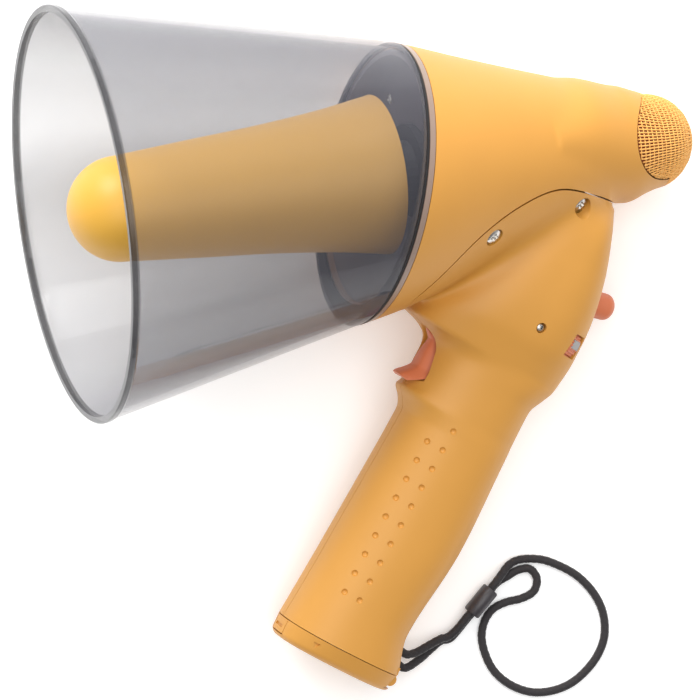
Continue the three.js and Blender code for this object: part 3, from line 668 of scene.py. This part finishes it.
def add_cup():
    piece(band(4.6, -0.2, *GASKET), "gasket_looks", "megaphone", RUBBER, ["bell_gasket"])
    piece(band(4.6, 0.0, *FLANGE), "cup_flange", "megaphone", SMOKY_BAND)
    bowl = [(109, 52.4), (123, 49.5), (136, 45.8), (138.6, 44.4), (140, 42.6), (140, THROAT_RADIUS),
            (138, THROAT_RADIUS), (138, 41), (137.2, 42.4), (134, 44), (123, 47.5), (109, 50.4)]
    cup = keep(turned("bowl", bowl, 160), behind_joint(FLANGE[0]))
    for y, z in cup_screw_places():
        cup = cut(cup, moved(rod(130, 150, 1.6, 24), Matrix.Translation((0, y, z))))
    piece(cup, "base_cup_looks", "megaphone", CHARCOAL, ["base_cup"])
    for i, (y, z) in enumerate(cup_screw_places()):
        screw = screw_form(2.6, 7.5)
        screw = moved(screw, Matrix.Translation((137.4, y, z)) @ Matrix.Rotation(math.pi, 4, "Z"))
        piece(screw, f"cup_screw_{i + 1}_looks", "megaphone", NICKEL,
              [f"base_cup_screw_{i + 1}"])


def add_reflector():
    wall = 2
    outside = [(19.5, 19.8), (50, 22.3), (77, 24.4), (104, 27.5), (122.5, 30.6)]
    start, nose_radius = outside[0]

    def nose(r):
        return [(start - r * math.cos(a), r * math.sin(a)) for a in np.linspace(0, math.pi / 2, 24)][:-1]

    x = np.linspace(start, outside[-1][0], 30)
    radius, = through(outside)(x)
    profile = [*nose(nose_radius), *zip(x, radius), *zip(x[::-1], radius[::-1] - wall),
               *nose(nose_radius - wall)[::-1]]
    piece(turned("reflector", profile, 128), "reflector_looks", "megaphone", NOSE,
          ["reflector"])


def screw_form(head, length):
    """A pan head screw along x with a cross recess."""
    profile = [(-length, 0), (-length, head * SHANK), (-1.7, head * SHANK), (-1.7, head * 0.97),
               (-1.5, head), (-1.0, head), (-0.45, head * 0.86), (-0.15, head * 0.6), (0, 0)]
    screw = turned("screw", profile, 48)
    wing = head * 0.6
    for turn in (0.4, 0.4 + math.pi / 2):
        rings = [[(-1.3, -wing * 0.5, -0.14 * head), (-1.3, wing * 0.5, -0.14 * head),
                  (-1.3, wing * 0.5, 0.14 * head), (-1.3, -wing * 0.5, 0.14 * head)],
                 [(0.4, -wing, -0.2 * head), (0.4, wing, -0.2 * head),
                  (0.4, wing, 0.2 * head), (0.4, -wing, 0.2 * head)]]
        screw = cut(screw, moved(rings_mesh("wing", rings), Matrix.Rotation(turn, 4, "X")))
    return screw


def add_screws():
    for i, (place, out, head, length) in enumerate(SCREWS):
        for side, name in ((1, "left"), (-1, "right")) if i < 2 else ((1, "left"),):
            screw = moved(screw_form(head, length), aim(place, out, side))
            piece(screw, f"screw_{name}_{i + 1}_looks", "megaphone", NICKEL,
                  [f"casing_screw_{name}_{i + 1}"], smooth=50)


# ---------------------------------------------------------------- microphone grille
RING_PITCH = 2.05                # between the threads that run round the microphone
ROW_COUNT = 110                  # threads that run from the tip back to the body
ROW_RADIUS = 0.33                # of the threads
RING_RADIUS = 0.27
WEAVE_LIFT = 0.17                # how far a thread rises and dips as it passes the others
WEAVE_DEPTH = 0.35               # its middle line below the head's surface
GRILLE_LENGTH = 46.0             # how far back from the tip threads are laid, before the edge trims them


def head_section(x):
    """Centre height and half sizes of the microphone's surface at x."""
    ball_x, ball_z, ball_radius = MICROPHONE
    if x > ball_x:
        radius = math.sqrt(max(ball_radius**2 - (x - ball_x) ** 2, 0))
        return ball_z, radius, radius
    return tuple(float(v[0]) for v in through(HEAD)([x]))


def grille_point(along, turn, lift):
    """A point at an arc length back from the tip, a turn about the axis and a height above the
    surface."""
    ball_x, ball_z, ball_radius = MICROPHONE
    quarter = ball_radius * math.pi / 2
    if along < quarter:
        angle = along / ball_radius
        reach = ball_radius + lift
        x, centre = ball_x + reach * math.cos(angle), ball_z
        half_height = half_width = reach * math.sin(angle)
    else:
        x = ball_x - (along - quarter)
        centre, half_height, half_width = head_section(x)
        half_height, half_width = half_height + lift, half_width + lift
    return x, half_width * math.cos(turn), centre + half_height * math.sin(turn)


def in_grille(point):
    x, _, z = point
    arc_x, arc_z, radius = GRILLE_ARC
    radius -= 0.55
    return math.hypot(x - arc_x, z - arc_z) < radius or (x > arc_x + 0.3 and z < arc_z + radius)


def thread(points, radius, around=7):
    """The rings of points of a thread along a line."""
    points = np.array(points)
    sides, ups = carried_frames(points)
    angle = np.linspace(0, 2 * np.pi, around, endpoint=False)
    rings = (points[:, None] + radius * np.cos(angle)[:, None] * sides[:, None]
             + radius * np.sin(angle)[:, None] * ups[:, None])
    return rings


def runs_inside(points):
    """The stretches of a thread that lie within the grille."""
    run, runs = [], []
    for point in points:
        if in_grille(point):
            run.append(point)
        elif run:
            runs.append(run)
            run = []
    runs.append(run)
    return [r for r in runs if len(r) > 4]


def bundle(name, tubes):
    """One mesh of many closed tubes, each given as its rings of points."""
    vertices, faces = [], []
    start = 0
    for rings in tubes:
        count, around = rings.shape[:2]
        index = start + np.arange(count * around).reshape(count, around)
        after = np.roll(index, -1, axis=1)
        faces += np.stack([index[:-1], after[:-1], after[1:], index[1:]], axis=-1).reshape(-1, 4).tolist()
        faces += [index[0][::-1].tolist(), index[-1].tolist()]
        vertices.append(rings.reshape(-1, 3))
        start += count * around
    return made(name, np.vstack(vertices), faces)


def row_start(row):
    """Arc length at which a row starts: near the tip only every fourth one has room."""
    if row % 2:
        return 15.5
    return 7.6 if row % 4 == 2 else 3.6


def add_grille():
    tubes = []
    for row in range(ROW_COUNT):
        turn = 2 * math.pi * row / ROW_COUNT
        at = np.arange(row_start(row), GRILLE_LENGTH, 0.34)
        lift = WEAVE_LIFT * np.cos(np.pi * (at / RING_PITCH + row)) - WEAVE_DEPTH
        line = [grille_point(a, turn, h) for a, h in zip(at, lift)]
        tubes += [thread(run, ROW_RADIUS) for run in runs_inside(line)]
    for ring in range(2, int(GRILLE_LENGTH / RING_PITCH)):
        along = ring * RING_PITCH
        turns = np.linspace(0, 2 * np.pi, 4 * ROW_COUNT + 1)
        lift = -WEAVE_LIFT * np.cos(np.pi * (turns * ROW_COUNT / (2 * np.pi) + ring)) - WEAVE_DEPTH
        line = [grille_point(along, turn, h) for turn, h in zip(turns, lift)]
        tubes += [thread(run, RING_RADIUS, 6) for run in runs_inside(line)]
    piece(bundle("weave", tubes), "grille_weave", "megaphone", THREAD, ["mic_grille"],
          smooth=80)
    backing = keep(head_skin(0.85), grille_reach(0.6))
    piece(backing, "grille_backing", "megaphone", BACKING)


def head_skin(depth):
    """A shell a little below the microphone's surface."""
    thickness = 0.9
    turns = np.linspace(0, 2 * np.pi, 96, endpoint=False)
    alongs = (0.3, 2, *np.linspace(4, 44, 40))
    outer = [[grille_point(a, t, -depth) for t in turns] for a in alongs]
    inner = [[grille_point(a, t, -depth - thickness) for t in turns] for a in alongs]
    return rings_mesh("skin", inner[::-1] + outer, close_ends=False)


# ---------------------------------------------------------------- controls
def superellipse(centre, across, half, square, around=96):
    """Points of a rounded section, as [x, y]."""
    angle = np.linspace(0, 2 * np.pi, around, endpoint=False)
    c, s = np.cos(angle), np.sin(angle)
    power = 2 / square
    return np.stack([centre + across * np.sign(c) * np.abs(c) ** power,
                     half * np.sign(s) * np.abs(s) ** power], axis=-1)


def add_trigger():
    heights = [*np.linspace(0, 27, 40), 27.5, 27.8]
    front_at = through(TRIGGER_FACE)
    shares = np.linspace(0, 1, 24)
    depths, = through(TRIGGER_SECTION)(shares)
    rings = []
    for up in heights:
        front = float(front_at([up])[0][0])
        half = max(arch_at(up), 2.0)
        section = [(front + d, -k * half) for k, d in zip(shares[:0:-1], depths[:0:-1])]
        section += [(front + d, k * half) for k, d in zip(shares, depths)]
        section += [(167, half), (167, -half)]
        rings.append([(x, y, up) for x, y in section])
    form = in_rake(rings_mesh("trigger", rings))
    under = slab("under", [(120, -73.5), (124.2, -77.4), (126.6, LEDGE + CHIN_GAP[0]),
                           (141, LEDGE + CHIN_GAP[1]), (200, LEDGE + CHIN_GAP[1]), (200, 0), (120, 0)],
                 -20, 20)
    form = keep(form, under)
    pivot_back, pivot_down = TRIGGER_PIVOT
    arm = slab("arm", [(155.4, 22), (TRIGGER_REAR, 22), (TRIGGER_REAR, 30), (152, 36), (150, 32),
                       (155.4, 27.8)], -4, 4)
    arm = join(arm, cross_rod(pivot_back, -pivot_down, 2.8, -4, 4))
    form = join(form, in_rake(arm))
    form = keep(form, in_rake(block(140, TRIGGER_REAR, -20, 20, -10, 40)))
    form = cut(form, in_rake(cross_rod(pivot_back, -pivot_down, 1.6, -20, 20)))
    piece(form, "trigger_looks", "trigger", CORAL, ["trigger"])


def add_button():
    dome = [(7.8 + 4 * math.cos(a), 5.3 * math.sin(a)) for a in np.linspace(0, math.radians(84), 16)]
    profile = [*dome, (7.4, 5.3), (-4.6, 5.3), (-4.6, 6.8), (-5.8, 6.8), (-5.8, 2.2), (-8.8, 2.2),
               (-8.8, 0)]
    button = moved(turned("button", profile, 96), BUTTON)
    piece(button, "whistle_button_looks", "whistle_button", CORAL, ["whistle_button"])


def add_dial():
    teeth = 36
    angle = np.linspace(0, 2 * np.pi, teeth * 8, endpoint=False)
    ridge = DIAL_RADIUS - 0.22 + 0.22 * np.clip(1.6 * np.cos(angle * teeth), -1, 1)
    rings = []
    for y, inset in ((-DIAL_HALF, 0.6), (0.5 - DIAL_HALF, 0.0), (DIAL_HALF - 0.5, 0.0), (DIAL_HALF, 0.6)):
        rings.append(np.stack([(ridge - inset) * np.cos(angle), np.full_like(angle, y),
                               (ridge - inset) * np.sin(angle)], axis=-1))
    wheel = cut(rings_mesh("wheel", rings), cross_rod(0, 0, 1.8, -10, 10))
    piece(moved(wheel, DIAL), "volume_dial_looks", "volume_dial", CORAL, ["volume_dial"])
    turns = np.radians(np.linspace(-8, 17, 14))
    outline = [(radius * math.cos(a), radius * math.sin(a))
               for radius, way in ((8.1, turns), (7.3, turns[::-1])) for a in way]
    mark = moved(slab("mark", outline, 0.7 - DIAL_HALF, DIAL_HALF - 0.7), DIAL)
    piece(mark, "dial_mark", "volume_dial", MARK)


# ---------------------------------------------------------------- battery cover
def end_rounding(down, radius):
    """How far the cover's round edge has turned in at a distance down the handle."""
    share = max(0.0, 1 - (COVER_BOTTOM - down) / radius)
    return radius * (1 - math.sqrt(1 - share * share))


def cover_form(inset, extra):
    """The cover's outer form, or its hollow with an inset and some extra height."""
    _, front, rear, half, square = GRIP[-1]
    round_radius, side_slope = 2.6, 0.4
    rows = [(COVER_TOP - extra, 0, 0)] if extra else []
    rows.append((COVER_TOP, 0, 0))
    for down in np.linspace(COVER_BOTTOM - round_radius, COVER_BOTTOM, 14):
        turned_in = end_rounding(down, round_radius)
        rows.append((down, turned_in, 0.8 * turned_in + side_slope * (down - COVER_TOP)))
    rings = []
    for down, shrink, side_shrink in rows:
        section = superellipse((front + rear) / 2, (rear - front) / 2 - shrink - inset,
                               half - side_shrink - inset, square)
        low = down if down < COVER_TOP + 1 else down - inset
        rings.append([(x, y, -low) for x, y in section])
    return in_rake(rings_mesh("cover", rings))


def add_cover():
    x, down = HINGE
    cover = cut(cover_form(0, 0), cover_form(1.8, 4))
    cover = cut(cover, in_rake(block(x - 3.4, 215, -12, 12, -103.2, -90)))
    web = block(x - 4.5, x + 2, -4.5, 4.5, -down - 4.6, -down)
    cover = join(cover, in_rake(join(cross_rod(x, -down, HINGE_RADIUS, -4.5, 4.5), web)))
    cover = cut(cover, hinge_pin_hole(), in_rake(block(150, 160, -5.4, 5.4, -103, -90)))
    arrow = slab("arrow", [(164.4, -98.8), (167.2, -98.8), (165.8, -101.2)], -30, -15.2)
    cover = cut(cover, in_rake(arrow))
    piece(cover, "battery_cover_looks", "battery_cover", YELLOW, ["battery_cover"])
    tongue = keep(in_rake(block(150, 158.2, -5, 5, -102.6, -COVER_TOP - 0.1)), cover_form(0.05, 0))
    tongue = cut(tongue, in_rake(block(150, 155.6, -3.2, 3.2, -100.6, -99.5)))
    piece(tongue, "cover_latch_looks", "cover_latch", YELLOW, ["cover_latch"])


def add_slider():
    """A short oval barrel with rolled ends that both strands of the cord pass through."""
    half_width, half_height, length = 3.5, 4.2, 12.4
    wall = ((-length / 2, 0.35), (-length / 2 + 0.5, 0.0), (length / 2 - 0.5, 0.0), (length / 2, 0.35))
    rings = []
    for x, inset in wall:
        rings.append([(x, y, z) for y, z in superellipse(0, half_width - inset, half_height - inset, 2)])
    for x, inset in reversed(wall):
        rings.append([(x, y, z) for y, z in superellipse(0, half_width - 0.6 + inset * 0.4,
                                                         half_height - 0.45 + inset * 0.4, 2)])
    slider = rings_mesh("slider", rings, close_ends=False)
    place = Matrix.Translation((*SLIDER_PLACE, half_height + 0.05)) @ Matrix.Rotation(SLIDER_TURN, 4, "Z")
    moved(slider, DEVICE.inverted() @ Matrix.Scale(MM, 4) @ place)
    piece(slider, "strap_slider_looks", "strap_slider", SLIDER, ["strap_slider"])


# ---------------------------------------------------------------- strap cord
STRAP_ROUTE = [
    (-10.3, -123.2, 14.8), (-7.1, -125.4, 13.6), (-4.8, -127.3, 12.7), (-0.6, -127.3, 10.6),
    (5.0, -125.6, 8.4), (10.6, -123.9, 6.8), (13.2, -123.8, 5.9), (17.0, -121.6, 5.6),
    (21.2, -117.8, 5.6), (26.8, -112.8, 5.6), (32.0, -108.1, 5.6), (35.4, -105.0, 5.6),
    (38.4, -102.3, 4.4), (42.0, -99.3, 2.5), (46.2, -98.0, 1.7), (54.9, -99.1, 1.6),
    (62.3, -102.8, 1.6), (69.1, -108.1, 1.6), (74.6, -115.8, 1.6), (77.2, -124.0, 1.6),
    (76.6, -133.0, 1.6), (73.0, -140.2, 1.6), (67.2, -146.0, 1.6), (60.4, -150.1, 1.6),
    (52.4, -151.9, 1.6), (43.8, -151.0, 1.6), (35.8, -146.6, 1.6), (30.4, -140.4, 1.6),
    (27.8, -133.0, 1.6), (27.4, -125.8, 1.6), (29.6, -119.8, 1.6), (33.4, -115.9, 1.6),
    (39.0, -114.0, 1.6), (45.4, -113.4, 1.6), (50.7, -111.2, 1.6), (52.5, -106.3, 1.6),
    (50.1, -102.2, 1.6), (45.4, -102.0, 1.6), (41.0, -103.7, 1.8), (36.1, -105.7, 2.5),
    (32.6, -108.8, 2.5), (27.5, -113.5, 2.5), (21.9, -118.5, 2.5), (17.7, -122.4, 2.5),
    (14.3, -125.0, 2.5), (10.8, -125.2, 3.2), (5.4, -128.0, 5.2), (0.4, -130.7, 8.0),
    (-6.4, -132.6, 11.9), (-8.8, -130.6, 12.9), (-12.3, -128.1, 14.2)]
CORD_STEP = 0.32                 # between rings of the braid
CORD_AROUND = 28
BRAID_STRANDS = 8                # strands that run each way round the cord
BRAID_PITCH = 11.0               # length in which a strand goes once round


def catmull_rom(points, fine=40):
    """The centripetal curve through points."""
    points = np.asarray(points, float)
    full = np.vstack([2 * points[0] - points[1], points, 2 * points[-1] - points[-2]])
    out = []
    u = np.linspace(0, 1, fine, endpoint=False)[:, None]
    for p0, p1, p2, p3 in zip(full, full[1:], full[2:], full[3:]):
        a, b, c = (max(np.linalg.norm(q - p) ** 0.5, 1e-4) for p, q in ((p0, p1), (p1, p2), (p2, p3)))
        m1 = ((p1 - p0) / a - (p2 - p0) / (a + b) + (p2 - p1) / b) * b
        m2 = ((p2 - p1) / b - (p3 - p1) / (b + c) + (p3 - p2) / c) * b
        out.append(p1 + m1 * u + (-3 * p1 + 3 * p2 - 2 * m1 - m2) * u**2
                   + (2 * p1 - 2 * p2 + m1 + m2) * u**3)
    return np.vstack([*out, points[-1:]])


def evenly(path, step):
    length = np.r_[0, np.cumsum(np.linalg.norm(np.diff(path, axis=0), axis=1))]
    count = int(round(length[-1] / step))
    at = np.linspace(0, length[-1], count + 1)
    return np.stack([np.interp(at, length, path[:, k]) for k in range(3)], axis=1), at


def carried_frames(path):
    """Two directions across the path at each point, carried along it without twist."""
    along = np.gradient(path, axis=0)
    along /= np.linalg.norm(along, axis=1)[:, None]
    side = np.cross(along[0], (0, 0, 1.0))
    sides = []
    for tangent in along:
        side = side - tangent * (side @ tangent)
        side /= np.linalg.norm(side)
        sides.append(side)
    sides = np.array(sides)
    return sides, np.cross(along, sides)


def braid_height(turn, along):
    """Height of a round braid, from 0 in the gaps to 1 on a strand's back."""
    right = BRAID_STRANDS * (turn + along / BRAID_PITCH)
    left = BRAID_STRANDS * (turn - along / BRAID_PITCH)
    over = np.cos(np.pi * (right + left) / 2) * np.cos(np.pi * (right - left) / 2)
    lift = 0.5 + 0.5 * np.tanh(3 * over)
    a = np.abs(np.sin(np.pi * right)) ** 0.7 * (0.55 + 0.45 * lift)
    b = np.abs(np.sin(np.pi * left)) ** 0.7 * (1.0 - 0.45 * lift)
    return np.maximum(a, b)


def braid_material():
    """Black fibres with a soft sheen."""
    made_material, tree, shader = material("braided_cord", (0.012, 0.0105, 0.0115), 0.75)
    where = tree.nodes.new("ShaderNodeTexCoord").outputs["Object"]
    fibre = node(tree, "ShaderNodeTexNoise", Vector=where, Scale=2600.0, Detail=3.0)
    relief = node(tree, "ShaderNodeBump", Height=fibre.outputs["Fac"], Strength=0.5, Distance=0.0001)
    tree.links.new(relief.outputs["Normal"], shader.inputs["Normal"])
    tone = node(tree, "ShaderNodeValToRGB", Fac=fibre.outputs["Fac"])
    tone.color_ramp.elements[0].color = (0.006, 0.005, 0.006, 1)
    tone.color_ramp.elements[1].color = (0.035, 0.03, 0.033, 1)
    tree.links.new(tone.outputs["Color"], shader.inputs["Base Color"])
    shader.inputs["Sheen Weight"].default_value = 0.35
    shader.inputs["Sheen Roughness"].default_value = 0.4
    return made_material


def add_cord():
    path, along = evenly(catmull_rom(STRAP_ROUTE), CORD_STEP)
    sides, ups = carried_frames(path)
    turn = np.linspace(0, 1, CORD_AROUND, endpoint=False)
    height = braid_height(turn[None, :], along[:, None])
    radius = CORD_RADIUS - 0.2 + 0.42 * height
    angle = 2 * np.pi * turn
    rings = (path[:, None]
             + (radius * np.cos(angle))[..., None] * sides[:, None]
             + (radius * np.sin(angle))[..., None] * ups[:, None])
    rings[..., 2] = np.maximum(rings[..., 2], 0.05)
    cord = rings_mesh("strap_braid", rings * MM)
    cord.data.materials.append(braid_material())
    shade(cord, 60)
    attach(cord, "megaphone")
    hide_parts("strap_cord")


add_casing()
add_bell()
add_cup()
add_reflector()
add_screws()
add_grille()
add_trigger()
add_button()
add_dial()
add_cover()
add_slider()
add_cord()


# ---------------------------------------------------------------- finish of carried-over nodes
# The nodes that no piece replaces
FINISHES = {
    "tone_arm": DARK, "driver_frame": DARK,
    "diaphragm": COPPER, "diaphragm_ring": DARK, "voice_coil": COPPER, "driver_top_plate": STEEL,
    "driver_magnet": FERRITE, "driver_yoke": STEEL, "circuit_board": BOARD,
    "output_transformer": FERRITE, "capacitor_1": ALUMINIUM, "capacitor_2": ALUMINIUM,
    "mic_foam": FOAM, "mic_holder": RUBBER, "mic_capsule": NICKEL, "cover_hinge_pin": STEEL,
    "strap_bar": STEEL, "trigger_pin": STEEL, "talk_switch": DARK, "switch_plunger": CORAL,
    "trigger_spring": STEEL, "whistle_switch": DARK, "whistle_spring": STEEL, "volume_pot": STEEL,
    "battery_tray": DARK, "contact_plate": NICKEL, "battery_spring": STEEL,
}


def finish_nodes():
    for name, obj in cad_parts.items():
        finish = SLEEVE if name.startswith("cell_") else FINISHES.get(name)
        if finish is not None:
            obj.data.materials.clear()
            obj.data.materials.append(finish)


finish_nodes()


# ---------------------------------------------------------------- floor and light
def add_floor():
    floor = made("floor", [(-3, -3, 0), (3, -3, 0), (3, 3, 0), (-3, 3, 0)], [(0, 1, 2, 3)])
    made_material, tree, shader = material("pale_floor", (0.93, 0.93, 0.93), 0.9)
    shader.inputs["Emission Color"].default_value = (1, 1, 1, 1)
    shader.inputs["Emission Strength"].default_value = 0.24
    floor.data.materials.append(made_material)


def add_light(name, place, size, power, target=(0, 0, 0.05)):
    light = bpy.data.lights.new(name, "AREA")
    light.size = size
    light.energy = power
    obj = bpy.data.objects.new(name, light)
    bpy.context.scene.collection.objects.link(obj)
    obj.location = place
    obj.rotation_mode = "QUATERNION"
    obj.rotation_quaternion = (Vector(target) - Vector(place)).to_track_quat("-Z", "Y")


def add_studio():
    add_floor()
    add_light("key", (-0.5, 1.8, 1.2), 1.2, 52)
    add_light("overhead", (0.1, 0.0, 2.2), 1.8, 27)
    world = bpy.data.worlds.new("studio")
    bpy.context.scene.world = world
    world.use_nodes = True
    tree = world.node_tree
    sky = tree.nodes["Background"]
    sky.inputs["Color"].default_value = (1, 1, 1, 1)
    where = tree.nodes.new("ShaderNodeTexCoord").outputs["Generated"]
    parts = node(tree, "ShaderNodeSeparateXYZ", Vector=where)
    fall = node(tree, "ShaderNodeMapRange", Value=parts.outputs["Y"])
    fall.inputs["From Min"].default_value = -1
    fall.inputs["To Min"].default_value = 0.15
    fall.inputs["To Max"].default_value = 0.95
    tree.links.new(fall.outputs["Result"], sky.inputs["Strength"])
    bpy.context.scene.view_settings.view_transform = "Standard"


add_studio()
